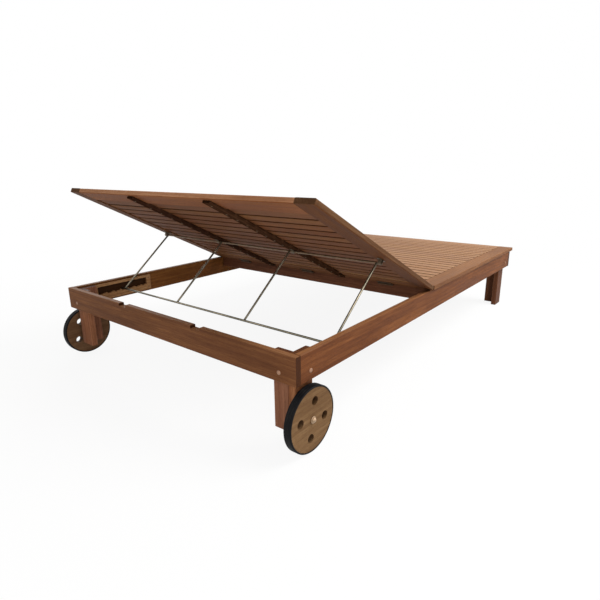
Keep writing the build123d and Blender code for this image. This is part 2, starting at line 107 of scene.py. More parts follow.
# A screw's pan head, as shares of its radius. Its rings follow the crown, or stand at the
# share of its rise that is given, and the last goes just below its seat.
HEAD_RISE = 0.42
HEAD_FALL = 0.3
HEAD_SUNK = 0.0002
HEAD_RINGS = ((0.30, None), (0.56, None), (0.66, None), (0.90, 0.66), (1.0, 0.3), (1.0, 0.0))
RECESS_REACH = 0.6
RECESS_FLOOR = 0.06
RECESS_ARM = 0.13
RECESS_LIP = 0.17
RIM_ANGLES = [math.radians(angle) for angle in (-27, -9, 9, 27, 45)]
GOLDEN_ANGLE = math.radians(137.5)

# Domed leg bolts, whose threads show past their nuts. Where a thread's crest ends and its root
# lies are shares of the pitch.
BOLT_HEAD_RADIUS = 0.007
BOLT_HEAD_RISE = 0.003
BOLT_RADIUS = 0.004
BOLT_GRIP = 0.055
BOLT_LENGTH = 0.058
BOLT_TIP = 0.8
THREAD_PITCH = 0.00055
THREAD_TURNS = 5
THREAD_CREST_AT = 0.3
THREAD_ROOT_AT = 0.7
THREAD_ROOT = 0.88
SIDE_BOLT_INSET = 0.067
END_BOLT_INSET = 0.063

# Axles with a washer and a domed cap nut
AXLE_RADIUS = 0.005
AXLE_LENGTH = 0.0726
AXLE_BEVEL = 0.001
AXLE_TIP = 0.8
CAP_WASHER_RADIUS = 0.011
CAP_WASHER_RISE = 0.0015
CAP_WASHER_BEVEL = 0.0003
CAP_NUT_RADIUS = 0.009
CAP_NUT_RISE = 0.003
CAP_NUT_BEVEL = 0.0007
CAP_NUT_TOP = 0.87
CAP_NUT_SIDES = 6
CAP_CROWN_RADIUS = 0.007
CAP_CROWN_RISE = 0.004

# Tyres with rounded shoulders and two grooves
TYRE_THICKNESS = 0.005
TYRE_SHOULDER = 0.0025
TYRE_SHOULDER_STEPS = 5
TYRE_SEGMENTS = 144
GROOVE_PLACES = (-0.0045, 0.0045)
GROOVE_HALF = 0.0009
GROOVE_DEPTH = 0.0007
GROOVE_FLOOR = 0.4

# Weld beads round the ends of the struts. Toe, swell and sag are shares of the rod's radius,
# and the ripple is a share of the sag.
ROD_RADIUS = 0.004
WELD_START = 0.0018
WELD_WIDTH = 0.0052
WELD_TOE = 0.97
WELD_SWELL = 0.06
WELD_ROUNDNESS = 0.8
WELD_SAG = 0.26
WELD_RIPPLE = 0.2
WELD_RIPPLES = 5
WELD_STEPS = 6
WELD_SEGMENTS = 24

# Facets of the other turned pieces
BOLT_SEGMENTS = 28
BOLT_DOME_STEPS = 6
WASHER_SEGMENTS = 40
CROWN_SEGMENTS = 32
CROWN_STEPS = 8
SHARP_ANGLE = math.radians(38)

# Wood colours on screen, as dark, mid and light
RAIL_WOOD = ((74, 39, 18), (114, 70, 38), (140, 91, 52))
# A darker copy of the rail wood for the crossrail: painted shade, as it sits under the backrest
SHADED_CROSSRAIL_WOOD = ((60, 31, 19), (93, 56, 40), (115, 73, 54))
# The head legs get a lighter copy of the leg wood (painted light) and the foot legs a darker one
# (painted shade)
LIT_HEAD_LEG_WOOD = ((94, 54, 34), (140, 88, 58), (164, 110, 76))
SHADED_FOOT_LEG_WOOD = ((60, 32, 20), (92, 54, 34), (114, 72, 46))
RACK_WOOD = ((104, 67, 42), (148, 106, 72), (176, 134, 96))
DECK_WOOD = ((118, 78, 52), (146, 104, 72), (170, 130, 96))
STILE_WOOD = ((88, 52, 32), (120, 80, 52), (144, 102, 70))
# A darker copy of the stile wood for the backrest's stiles: painted shade
SHADED_BACK_STILE_WOOD = ((70, 44, 28), (98, 68, 46), (118, 86, 60))
# A lighter copy of the deck wood for the backrest's free edge: painted light
LIT_EDGE_WOOD = ((130, 82, 54), (168, 116, 82), (192, 140, 104))
# A much darker wood for the battens under the deck and backrest: painted shade
SHADED_BATTEN_WOOD = ((38, 20, 11), (61, 36, 22), (80, 52, 35))
DISC_WOOD = ((84, 57, 37), (110, 82, 56), (126, 97, 69))
# The colour tops go to: sun bleaching together with painted light
BLEACHED_AND_LIT_TOP = (160, 119, 86)

# How often each figure of the wood repeats along the grain, across it and through the board
WANDER_SCALE = (1.1, 6.0, 6.0)
STREAK_SCALE = (1.6, 46.0, 46.0)
PATCH_SCALE = (2.4, 8.0, 8.0)
FIBRE_SCALE = (11.0, 520.0, 520.0)
PORE_SCALE = (70.0, 1500.0, 1500.0)
RING_DENSITY = 640.0
RING_WANDER = 34.0

# Where the tree's middle lies from a board, and how far boards are moved to tell them apart
PITH_ACROSS = 0.06
PITH_UP = 0.13
MOVED_ALONG = 7.0
MOVED_ACROSS = 3.1

# Over what range of its noise each figure sets in, and how strongly it then shows
STREAK_RANGE = (0.40, 0.62)
PATCH_RANGE = (0.44, 0.70)
FIBRE_RANGE = (0.42, 0.68)
PORE_RANGE = (0.60, 0.68)
PATCH_SHARE = 0.45
RING_SHARE = 0.22
FIBRE_SHARE = 0.62
PORE_SHARE = 0.5

# The same for a lightened top (sun bleaching and painted light), which is uneven: its patches
# are lightened less
TOP_FIBRE_RANGE = (0.36, 0.66)
TOP_RING_SHARE = 0.2
UNEVEN_RANGE = (0.3, 0.7)
UNEVEN_SHARES = (1.0, 0.55)

# A wood's deepest tones, as shares of its dark one, and how far its boards differ
DEEP_TONE = 0.4
BLACK_TONE = 0.12
BOARD_HUES = (0.495, 0.506)
BOARD_SATURATIONS = (0.92, 1.08)

# Over what range of its normal a face counts as end grain, as a top (bleaching and painted
# light), as facing the next slat (painted shade in the gap) or as an underside (painted
# shade), and how far it differs then
END_SLOPES = (0.75, 0.95)
TOP_SLOPES = (0.6, 0.9)
GAP_SHADE_SLOPES = (0.4, 0.8)
UNDERSIDE_SHADE_SLOPES = (-0.2, -0.6)
GAP_SHADE_SHARE = 0.92
UNDERSIDE_SHADE_TINT = (1.0, 0.77, 0.6)

# End grain's speckle
SPECKLE_SCALE = 900.0
SPECKLE_RANGE = (0.35, 0.65)

# Painted shade behind the racks' slots: how far it goes past their ends, and where it lies
# between the foot and the top of a rack
SLOT_SHADE_PAST_SLOT = 0.003
SLOT_SHADE_OVER_FOOT = 0.024
SLOT_SHADE_UNDER_TOP = 0.005
SLOT_SHADE_SHARE = 0.85

# Painted shade and soiling in the joints, and worn edges, which undersides lack
JOINT_SHADE_AND_DIRT_RANGE = (0.3, 0.75)
JOINT_SHADE_AND_DIRT_SHARE = 0.75
BOARD_SHADE_AND_DIRT_REACH = 0.014
RAIL_SHADE_AND_DIRT_REACH = 0.035
DISC_SHADE_AND_DIRT_REACH = 0.03
SCUFF_SCALE = 46.0
WORN_WIDTH = 0.0022
WORN_RANGE = (0.40, 0.62)
WORN_SLOPES = (-0.4, 0.0)
WORN_SHARE = 0.5

# How each figure stands up from the wood, and the strength and depth of the whole relief
FIBRE_HEIGHT = 0.5
PORE_HEIGHT = -0.6
RING_HEIGHT = 0.25
WOOD_RELIEF = (0.35, 0.0005)

# How far a roughness drifts about its middle over a noise, and what wear or tarnish adds
DRIFT_RANGE = (0.3, 0.7)
WOOD_DRIFT = (-0.06, 0.10)
WORN_ROUGHNESS = 0.12
STEEL_DRIFT = (-0.08, 0.12)
SPOT_ROUGHNESS = 0.2

# How far a rounded edge's normal turns from its face's, from a flat face to a full edge. Both
# are cosines.
EDGE_TURNS = (0.995, 0.80)

# Which of x, y and z run along the grain, across the face and through the board
GRAIN_ORDER = {"x": (0, 1, 2), "y": (1, 0, 2), "z": (2, 0, 1)}

# Steels: colour on screen, roughness, seed, and what sets each apart
TARNISH = (82, 68, 50)
STEELS = {
    # prop_steel carries a painted highlight band along its rods' upper flanks
    "prop_steel": ((80, 82, 73), 0.3, 1, {"painted_highlight": (196, 182, 156)}),
    # A darker, browner copy of the prop steel for the upper rod: painted shade and a painted
    # reflection of the wood
    "shaded_rod_steel": ((112, 92, 72), 0.38, 8, {}),
    "bracket_steel": ((104, 92, 76), 0.42, 2, {"spotted": 0.7}),
    # A darker copy of the bracket steel for the hinges: painted shade
    "shaded_hinge_steel": ((74, 58, 45), 0.5, 10, {"spotted": 0.7}),
    "pin_steel": ((150, 144, 130), 0.3, 3, {}),
    "bush_brass": ((200, 162, 92), 0.32, 5, {}),
    "bolt_steel": ((152, 116, 92), 0.48, 4, {"metallic": 0.6, "spotted": 0.35}),
    "cap_steel": ((172, 146, 118), 0.42, 9, {"metallic": 0.6, "spotted": 0.25}),
    "screw_steel": ((104, 84, 64), 0.45, 6, {"spotted": 0.4}),
    "weld_steel": ((108, 106, 96), 0.45, 7, {"spotted": 0.6}),
}
STEEL_NODES = {
    "prop_steel": ["prop_rest_bar", *(f"prop_strut_{i}" for i in range(1, 5))],
    "shaded_rod_steel": ["prop_upper_rod"],
    "bracket_steel": ["batten_straps", "stile_straps"],
    "shaded_hinge_steel": ["hinge_leaves_crossrail", "hinge_leaves_backrest"],
    "pin_steel": ["hinge_pins"],
    "bush_brass": ["wheel_bush_left", "wheel_bush_right"],
    "bolt_steel": ["leg_nuts_and_washers", "axle_spacers", "axle_nuts"],
}

# How often steel's clouds, spots and drawing marks repeat, over what range of their noise they
# set in, and how far each seed moves them. A cloud's tones are shares of the tint.
STEEL_MOVED = (0.37, 0.11, 0.0)
CLOUD_SCALE = 60.0
CLOUD_RANGE = (0.35, 0.65)
CLOUD_TONES = (0.65, 1.25)
SPOT_SCALE = 420.0
SPOT_RANGE = (0.58, 0.70)
DRAWN_SCALE = (30.0, 900.0, 900.0)
DRAWN_HEIGHT = 0.5
STEEL_RELIEF = (0.25, 0.0002)
STEEL_WORN_WIDTH = 0.0008
STEEL_WORN_SHARE = 0.5

# A rod's painted highlight band: the upward slopes that it starts and ends at, and how it fades
# in places
HIGHLIGHT_STARTS = (0.05, 0.3)
HIGHLIGHT_ENDS = (0.8, 0.6)
HIGHLIGHT_FADE_SCALE = 7.0
HIGHLIGHT_FADE_RANGE = (0.46, 0.56)
HIGHLIGHT_SHARES = (0.55, 1.0)

# Rubber: colours on screen, dust, mould grain and worn edges
RUBBER_DARK = (4, 4, 6)
RUBBER_DUSTY = (18, 17, 17)
RUBBER_WORN = (62, 60, 58)
DUST_SCALE = 34.0
DUST_RANGE = (0.48, 0.78)
DUST_ROUGH_RANGE = (0.35, 0.7)
RUBBER_ROUGHNESS = (0.5, 0.7)
MOULD_SCALE = 1600.0
RUBBER_RELIEF = (0.3, 0.0003)
RUBBER_WORN_WIDTH = 0.002
RUBBER_WORN_RANGE = (0.4, 0.6)
RUBBER_WORN_SHARE = 0.4
RUBBER_SHINE = 0.12

# A wood's tones, and how much of each figure shows at a place
Tones = namedtuple("Tones", "dark mid light deep black")
Figure = namedtuple("Figure", "rings streaks patches fibres pores")


class Nodes:
    """A material's node tree, built one node at a time."""

    def __init__(self, name):
        self.material = bpy.data.materials.new(name)
        self.material.use_nodes = True
        self.tree = self.material.node_tree
        self.tree.nodes.clear()

    def add(self, kind, inputs=None, **settings):
        node = self.tree.nodes.new(kind)
        for key, value in settings.items():
            setattr(node, key, value)
        for key, value in (inputs or {}).items():
            self.feed(node.inputs[key], value)
        return node

    def feed(self, socket, value):
        if isinstance(value, bpy.types.NodeSocket):
            self.tree.links.new(value, socket)
        else:
            socket.default_value = value

    def math(self, operation, a, b=0.0, c=0.0, clamp=False):
        inputs = {0: a, 1: b, 2: c}
        return self.add("ShaderNodeMath", inputs, operation=operation, use_clamp=clamp).outputs[0]

    def plus(self, a, b):
        return self.math("ADD", a, b)

    def times(self, a, b):
        return self.math("MULTIPLY", a, b)

    def absolute(self, value):
        return self.math("ABSOLUTE", value)

    def vector(self, operation, a, b=(0.0, 0.0, 0.0)):
        node = self.add("ShaderNodeVectorMath", {0: a, 1: b}, operation=operation)
        return node.outputs["Value" if operation in ("LENGTH", "DOT_PRODUCT") else "Vector"]

    def mix(self, factor, a, b):
        """From colour a to colour b."""
        return self.add("ShaderNodeMix", {0: factor, 6: a, 7: b}, data_type="RGBA").outputs[2]

    def cover(self, colour, tone, amount, share):
        """A colour gone over to a tone by an amount, and at most by a share."""
        return self.mix(self.times(amount, share), colour, tone)

    def range(self, value, low, high, to_low=0.0, to_high=1.0):
        inputs = {0: value, 1: low, 2: high, 3: to_low, 4: to_high}
        return self.add("ShaderNodeMapRange", inputs).outputs[0]

    def between(self, value, low, high):
        """1 where a value lies between two limits, 0 elsewhere."""
        return self.math("COMPARE", value, (low + high) / 2, (high - low) / 2)

    def noise(self, vector, scale=1.0, detail=4.0, roughness=0.55):
        inputs = {"Vector": vector, "Scale": scale, "Detail": detail, "Roughness": roughness}
        return self.add("ShaderNodeTexNoise", inputs).outputs["Fac"]

    def place(self):
        return self.add("ShaderNodeTexCoord").outputs["Object"]

    def normal(self):
        return self.add("ShaderNodeTexCoord").outputs["Normal"]

    def turned(self, vector, angle):
        """The vector turned about X by an angle."""
        inputs = {"Vector": vector, "Angle": angle}
        node = self.add("ShaderNodeVectorRotate", inputs, rotation_type="X_AXIS")
        return node.outputs["Vector"]

    def parts(self, vector):
        return self.add("ShaderNodeSeparateXYZ", {0: vector}).outputs

    def stretched(self, values, scales):
        """A vector of three values, each times its own scale."""
        scaled = [self.times(value, scale) for value, scale in zip(values, scales)]
        return self.add("ShaderNodeCombineXYZ", dict(enumerate(scaled))).outputs[0]

    def edge_wear(self, radius):
        """1 on edges, 0 on flat faces."""
        bevel = self.add("ShaderNodeBevel", {"Radius": radius}, samples=4).outputs["Normal"]
        flat = self.add("ShaderNodeNewGeometry").outputs["Normal"]
        return self.range(self.vector("DOT_PRODUCT", bevel, flat), *EDGE_TURNS)

    def crevice(self, distance):
        """1 deep in a joint between pieces, 0 in the open."""
        open_sky = self.add("ShaderNodeAmbientOcclusion", {"Distance": distance}, samples=4)
        return self.math("SUBTRACT", 1.0, open_sky.outputs["AO"])

    def drift(self, middle, noise, spread, marks, added):
        """A roughness that drifts about its middle over a noise, and is higher on marks."""
        low, high = (middle + part for part in spread)
        rough = self.range(noise, *DRIFT_RANGE, low, high)
        return self.math("ADD", rough, self.times(marks, added), clamp=True)

    def bump(self, height, strength, distance):
        inputs = {"Height": height, "Strength": strength, "Distance": distance}
        return self.add("ShaderNodeBump", inputs).outputs["Normal"]

    def surface(self, colour, roughness, normal, **values):
        """The finished material. Values are named after the shader's sockets."""
        inputs = {key.replace("_", " "): value for key, value in values.items()}
        inputs |= {"Base Color": colour, "Roughness": roughness, "Normal": normal}
        shader = self.add("ShaderNodeBsdfPrincipled", inputs)
        self.add("ShaderNodeOutputMaterial", {"Surface": shader.outputs[0]})
        return self.material


def linear(colour, factor=1.0):
    """A colour given as 0 to 255 on screen, as the shader wants it."""
    def channel(value):
        value = value / 255
        return value / 12.92 if value <= 0.04045 else ((value + 0.055) / 1.055) ** 2.4
    return (*(factor * channel(value) for value in colour), 1.0)


def wood_figure(nodes, along, side, up, chance):
    """Growth rings, streaks, patches, fibres and pores at a place along the grain, across the
    face and through the board. The board's chance value moves them, so no two are alike."""
    moved_along = nodes.plus(along, nodes.times(chance, MOVED_ALONG))
    moved_side = nodes.plus(side, nodes.times(chance, MOVED_ACROSS))

    def stretched_noise(scales, **settings):
        place = nodes.stretched((moved_along, moved_side, up), scales)
        return nodes.noise(place, **settings)

    # Rings, cut nearly along the tree, wander slowly along the board
    wander = stretched_noise(WANDER_SCALE, detail=2.0)
    across = nodes.plus(side, PITH_ACROSS)
    pith = nodes.stretched((0.0, across, nodes.plus(up, PITH_UP)), (0.0, 1.0, 1.0))
    out = nodes.times(nodes.vector("LENGTH", pith), RING_DENSITY)
    phase = nodes.plus(out, nodes.times(wander, RING_WANDER))
    rings = nodes.math("POWER", nodes.range(nodes.math("SINE", phase), -1.0, 1.0), 2.0)

    return Figure(
        rings=rings,
        streaks=stretched_noise(STREAK_SCALE, detail=5.0, roughness=0.62),
        patches=stretched_noise(PATCH_SCALE, detail=3.0),
        fibres=stretched_noise(FIBRE_SCALE, detail=3.0, roughness=0.7),
        pores=nodes.range(stretched_noise(PORE_SCALE, detail=1.0), *PORE_RANGE),
    )


def figured(nodes, tones, figure):
    """The colour of a fresh face."""
    colour = nodes.mix(nodes.range(figure.streaks, *STREAK_RANGE), tones.mid, tones.light)
    patchy = nodes.range(figure.patches, *PATCH_RANGE)
    fibrous = nodes.range(figure.fibres, *FIBRE_RANGE)
    colour = nodes.cover(colour, tones.dark, patchy, PATCH_SHARE)
    colour = nodes.cover(colour, tones.dark, figure.rings, RING_SHARE)
    colour = nodes.cover(colour, tones.dark, fibrous, FIBRE_SHARE)
    return nodes.cover(colour, tones.deep, figure.pores, PORE_SHARE)


def bleached_and_lit(nodes, colour, tones, figure, upward, weather):
    """The colour with its top faces lightened by sun bleaching and painted light, less so in
    patches.
    """
    fibrous = nodes.range(figure.fibres, *TOP_FIBRE_RANGE)
    top = nodes.mix(fibrous, linear(BLEACHED_AND_LIT_TOP), tones.light)
    top = nodes.cover(top, tones.mid, figure.rings, TOP_RING_SHARE)
    uneven = nodes.range(figure.patches, *UNEVEN_RANGE, *UNEVEN_SHARES)
    amount = nodes.times(nodes.range(upward, *TOP_SLOPES), uneven)
    return nodes.cover(colour, top, amount, weather)


def painted_slot_shade(nodes, axes):
    """1 on the side rails' inner faces behind the racks' slots, where shade is painted."""
    low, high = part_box("rack_left")
    rail_low, rail_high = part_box("side_rail_left")
    foot = low.y + RACK_FOOT_POST - SLOT_SHADE_PAST_SLOT
    head = high.y - RACK_HEAD_POST + SLOT_SHADE_PAST_SLOT
    inside = nodes.between(axes[1], foot, head)
    level = nodes.between(axes[2], low.z + SLOT_SHADE_OVER_FOOT, high.z - SLOT_SHADE_UNDER_TOP)
    rail_middle = (rail_low.x + rail_high.x) / 2
    inner = nodes.math("LESS_THAN", nodes.absolute(axes[0]), rail_middle)
    return nodes.times(nodes.times(inside, level), inner)


def wood(
    name, colours, grain, seed, tilt=0.0, boards=None, roughness=0.5, weather=0.0,
    vary=0.1, under=1.0, grime=BOARD_SHADE_AND_DIRT_REACH, shine=0.06, ends=0.8, stained=False,
):
    """Oiled hardwood, tilted about X. boards gives where separate boards begin along a panel
    and their pitch, so that each has its own figure and shade. weather is how far its top is
    lightened by sun bleaching and painted light, vary how far boards differ in shade, under how
    much brightness its underside keeps under painted shade, grime how far painted shade and
    soiling spread from its joints, shine its specular level, ends how dark its end grain is,
    and stained paints shade on it inside the racks' slots."""
    nodes = Nodes(name)
    deepest = (linear(colours[0], share) for share in (DEEP_TONE, BLACK_TONE))
    tones = Tones(*(linear(colour) for colour in colours), *deepest)
    place = nodes.place()
    normal = nodes.normal()
    if tilt:
        place = nodes.turned(place, -tilt)
        normal = nodes.turned(normal, -tilt)
    axes = nodes.parts(place)
    facing = nodes.parts(normal)
    upward = facing[2]

    board = float(seed)
    if boards:
        start, pitch = boards
        index = nodes.math("DIVIDE", nodes.math("SUBTRACT", axes[1], start), pitch)
        board = nodes.plus(nodes.math("FLOOR", index), board)
    chance = nodes.add("ShaderNodeTexWhiteNoise", {"W": board}, noise_dimensions="1D").outputs
    shade = chance["Value"]
    along, side, up = (axes[i] for i in GRAIN_ORDER[grain])
    figure = wood_figure(nodes, along, side, up, shade)

    # Each board has its own shade
    inputs = {
        "Hue": nodes.range(shade, 0.0, 1.0, *BOARD_HUES),
        "Saturation": nodes.range(chance["Color"], 0.0, 1.0, *BOARD_SATURATIONS),
        "Value": nodes.range(shade, 0.0, 1.0, 1.0 - vary, 1.0 + vary),
        "Color": figured(nodes, tones, figure),
    }
    colour = nodes.add("ShaderNodeHueSaturation", inputs).outputs["Color"]

    # End grain is darker and duller than the faces
    endwise = nodes.range(nodes.absolute(facing[GRAIN_ORDER[grain][0]]), *END_SLOPES)
    speckle = nodes.noise(nodes.place(), scale=SPECKLE_SCALE, detail=2.0)
    end_colour = nodes.mix(nodes.range(speckle, *SPECKLE_RANGE), tones.black, tones.dark)
    colour = nodes.cover(colour, end_colour, endwise, ends)

    # Tops are lightened by sun bleaching and painted light, and the faces between slats and the
    # undersides get painted shade
    if weather:
        colour = bleached_and_lit(nodes, colour, tones, figure, upward, weather)
    # Painted shade on the faces between slats, in the gaps
    if boards:
        gap_shade = nodes.range(nodes.absolute(facing[1]), *GAP_SHADE_SLOPES)
        colour = nodes.cover(colour, tones.black, gap_shade, GAP_SHADE_SHARE)
    # Painted shade on the undersides
    if under < 1.0:
        shaded = nodes.vector("MULTIPLY", colour, [under * share for share in UNDERSIDE_SHADE_TINT])
        colour = nodes.mix(nodes.range(upward, *UNDERSIDE_SHADE_SLOPES), colour, shaded)
    # Painted shade on the side rails inside the racks' slots
    if stained:
        colour = nodes.cover(colour, tones.black, painted_slot_shade(nodes, axes), SLOT_SHADE_SHARE)

    # Worn, lighter edges, and painted shade and soiling in the joints
    scuffs = nodes.noise(nodes.place(), scale=SCUFF_SCALE, detail=5.0, roughness=0.7)
    worn = nodes.times(nodes.edge_wear(WORN_WIDTH), nodes.range(scuffs, *WORN_RANGE))
    worn = nodes.times(worn, nodes.range(upward, *WORN_SLOPES))
    colour = nodes.cover(colour, tones.light, worn, WORN_SHARE)
    joint_shade_and_dirt = nodes.range(nodes.crevice(grime), *JOINT_SHADE_AND_DIRT_RANGE)
    colour = nodes.cover(colour, tones.deep, joint_shade_and_dirt, JOINT_SHADE_AND_DIRT_SHARE)

    rough = nodes.drift(roughness, figure.streaks, WOOD_DRIFT, worn, WORN_ROUGHNESS)
    height = nodes.plus(
        nodes.times(figure.fibres, FIBRE_HEIGHT), nodes.times(figure.pores, PORE_HEIGHT)
    )
    height = nodes.plus(height, nodes.times(figure.rings, RING_HEIGHT))
    relief = nodes.bump(height, *WOOD_RELIEF)
    return nodes.surface(colour, rough, relief, Specular_IOR_Level=shine)


def steel(name, tint, roughness, seed, metallic=1.0, spotted=0.5, painted_highlight=None):
    """Zinc plated steel: cloudy, faintly drawn, brighter on its worn edges, and spotted with
    tarnish. gleam is the colour of a painted highlight band along a rod's upper flanks."""
    nodes = Nodes(name)
    moved = [seed * share for share in STEEL_MOVED]
    place = nodes.vector("ADD", nodes.place(), moved)
    clouds = nodes.noise(place, scale=CLOUD_SCALE, detail=5.0, roughness=0.65)
    spots = nodes.range(nodes.noise(place, scale=SPOT_SCALE, detail=3.0), *SPOT_RANGE)
    dull, bright = (linear(tint, share) for share in CLOUD_TONES)
    colour = nodes.mix(nodes.range(clouds, *CLOUD_RANGE), dull, bright)
    colour = nodes.cover(colour, linear(TARNISH), spots, spotted)
    # A painted highlight band along a rod's upper flanks, fading in places
    if painted_highlight:
        slope = nodes.parts(nodes.normal())[2]
        highlight_band = nodes.times(nodes.range(slope, *HIGHLIGHT_STARTS), nodes.range(slope, *HIGHLIGHT_ENDS))
        fading = nodes.noise(place, scale=HIGHLIGHT_FADE_SCALE, detail=2.0)
        share = nodes.range(fading, *HIGHLIGHT_FADE_RANGE, *HIGHLIGHT_SHARES)
        colour = nodes.cover(colour, linear(painted_highlight), highlight_band, share)
    worn = nodes.edge_wear(STEEL_WORN_WIDTH)
    colour = nodes.cover(colour, bright, worn, STEEL_WORN_SHARE)
    drawn = nodes.noise(nodes.vector("MULTIPLY", place, DRAWN_SCALE), detail=2.0)
    rough = nodes.drift(roughness, clouds, STEEL_DRIFT, spots, SPOT_ROUGHNESS)
    height = nodes.plus(nodes.times(drawn, DRAWN_HEIGHT), spots)
    relief = nodes.bump(height, *STEEL_RELIEF)
    return nodes.surface(colour, rough, relief, Metallic=metallic)


def rubber(name):
    """Black solid rubber with fine mould grain, dusty here and there."""
    nodes = Nodes(name)
    place = nodes.place()
    dust = nodes.noise(place, scale=DUST_SCALE, detail=6.0, roughness=0.7)
    grain = nodes.noise(place, scale=MOULD_SCALE, detail=2.0)
    dusty = nodes.range(dust, *DUST_RANGE)
    colour = nodes.mix(dusty, linear(RUBBER_DARK), linear(RUBBER_DUSTY))
    edges = nodes.edge_wear(RUBBER_WORN_WIDTH)
    worn = nodes.times(edges, nodes.range(dust, *RUBBER_WORN_RANGE))
    colour = nodes.cover(colour, linear(RUBBER_WORN), worn, RUBBER_WORN_SHARE)
    rough = nodes.range(dust, *DUST_ROUGH_RANGE, *RUBBER_ROUGHNESS)
    relief = nodes.bump(grain, *RUBBER_RELIEF)
    return nodes.surface(colour, rough, relief, Specular_IOR_Level=RUBBER_SHINE)


def dress(node, material):
    piece = frame["nodes"][node]
    piece.data.materials.clear()
    piece.data.materials.append(material)


def dress_boards(names, colours, grain, first_seed, **looks):
    """Each board gets its own figure."""
    for seed, name in enumerate(names, first_seed):
        dress(name, wood(name, colours, grain, seed, **looks))


def spread(name, turn=None):
    """Lowest and highest place of a node along Y, or along the tilted backrest."""
    turn = turn or Matrix.Identity(4)
    places = [(turn @ vertex.co).y for vertex in frame["nodes"][name].data.vertices]
    return min(places), max(places)


def slat_row(groups, turn=None):
    """Middles of a panel's slats and their pitch."""
    first, second = (spread(name, turn)[0] for name in groups[:2])
    last = spread(groups[-1], turn)[1]
    pitch = (second - first) / SLATS_IN_GROUP
    middle = first + SLAT_WIDTH / 2
    count = round((last - SLAT_WIDTH / 2 - middle) / pitch) + 1
    return [middle + i * pitch for i in range(count)], pitch


def dress_slats(name, groups, seed, turn=None, **looks):
    middles, pitch = slat_row(groups, turn)
    boards = (middles[0] - pitch / 2, pitch)
    material = wood(name, DECK_WOOD, "x", seed, boards=boards, **looks)
    for group in groups:
        dress(group, material)


def dress_frame_wood():
    rails = ["side_rail_left", "side_rail_right"]
    # The side rails carry painted shade inside the racks' slots
    dress_boards(rails, RAIL_WOOD, "y", 3, weather=0.55, grime=RAIL_SHADE_AND_DIRT_REACH, stained=True)
    dress_boards(["head_rail", "foot_rail"], RAIL_WOOD, "x", 11, weather=0.8, ends=0.9)
    # The crossrail's darker colours are painted shade
    dress_boards(["mid_crossrail"], SHADED_CROSSRAIL_WOOD, "x", 13, weather=0.8, ends=0.9)
    dress_boards(["rack_left", "rack_right"], RACK_WOOD, "y", 17, roughness=0.6)
    # Legs: lighter copies at the head are painted light, darker copies at the foot painted shade
    for end, colours, seed in (("head", LIT_HEAD_LEG_WOOD, 23), ("foot", SHADED_FOOT_LEG_WOOD, 27)):
        kinds = [(side, board) for side, _ in SIDES for board in ("side", "end")]
        boards = [f"{end}_leg_{side}_{board}_board" for side, board in kinds]
        dress_boards(boards, colours, "z", seed)


def dress_deck():
    dress_boards(["deck_stile_left", "deck_stile_right"], STILE_WOOD, "y", 41, weather=0.4)
    dress_boards(["deck_border_foot", "deck_border_head"], DECK_WOOD, "x", 45, weather=0.7)
    # The battens' dark colours are painted shade
    dress_boards(["deck_batten_left", "deck_batten_right"], SHADED_BATTEN_WOOD, "y", 49)
    dress_slats("deck_slats", DECK_GROUPS, 53, weather=0.7)


def dress_backrest():
    # Backrest boards: painted light on their tops and painted shade on their undersides
    looks = {"tilt": BACK_TILT, "weather": 0.5, "under": 0.58, "shine": 0.02, "ends": 0.45}
    stiles = ["backrest_stile_left", "backrest_stile_right"]
    stile_looks = {**looks, "under": 0.95, "weather": 0.95}
    # The stiles' darker colours are painted shade
    dress_boards(stiles, SHADED_BACK_STILE_WOOD, "y", 81, **stile_looks)
    dress_boards(["backrest_border_hinge"], DECK_WOOD, "x", 85, **{**looks, "under": 0.5})
    # The free edge's lighter colours are painted light
    dress_boards(["backrest_border_head"], LIT_EDGE_WOOD, "x", 86, **looks)
    battens = ["backrest_batten_left", "backrest_batten_right"]
    dress_boards(battens, SHADED_BATTEN_WOOD, "y", 89, tilt=BACK_TILT, shine=0.0)
    unturned = Matrix.Rotation(-BACK_TILT, 4, "X")
    dress_slats("backrest_slats", BACK_GROUPS, 93, unturned, vary=0.05, **looks)


def dress_wheels():
    discs = ["wheel_disc_left", "wheel_disc_right"]
    dress_boards(discs, DISC_WOOD, "y", 101, roughness=0.62, grime=DISC_SHADE_AND_DIRT_REACH)


def make_steels():
    """Every steel by its name, on the nodes that wear it."""
    steels = {
        name: steel(name, tint, roughness, seed, **others)
        for name, (tint, roughness, seed, others) in STEELS.items()
    }
    for name, wearers in STEEL_NODES.items():
        for node in wearers:
            dress(node, steels[name])
    return steels


def seat(origin, outward, upward=(0.0, 0.0, 1.0)):
    """A place whose z axis points outward and whose x axis is as near upward as it can be."""
    z = Vector(outward).normalized()
    y = z.cross(Vector(upward)).normalized()
    turn = Matrix((y.cross(z), y, z)).transposed().to_4x4()
    return Matrix.Translation(Vector(origin)) @ turn


def around(radius, angle, height):
    return Vector((radius * math.cos(angle), radius * math.sin(angle), height))


def bridge(mesh, low, high):
    """Faces between two rings of points, either of which may be a single point."""
    count = max(len(low), len(high))
    for i in range(count):
        j = (i + 1) % count
        corners = [low[i % len(low)], low[j % len(low)], high[j % len(high)], high[i % len(high)]]
        mesh.faces.new(list(dict.fromkeys(corners)))


def lathe(mesh, place, profile, segments, closed=False, bulge=None):
    """A turned shell: profile lists radius and height, a radius of zero closes it at a point.
    bulge gives how much fuller the shell is at an angle."""
    rings = []
    for radius, height in profile:
        ring = []
        for k in range(segments if radius else 1):
            angle = math.tau * k / segments
            reach = radius * (1.0 + bulge(angle)) if bulge else radius
            ring.append(mesh.verts.new(place @ around(reach, angle, height)))
        rings.append(ring)
    for low, high in zip(rings, rings[1:]):
        bridge(mesh, low, high)
    if closed:
        bridge(mesh, rings[-1], rings[0])


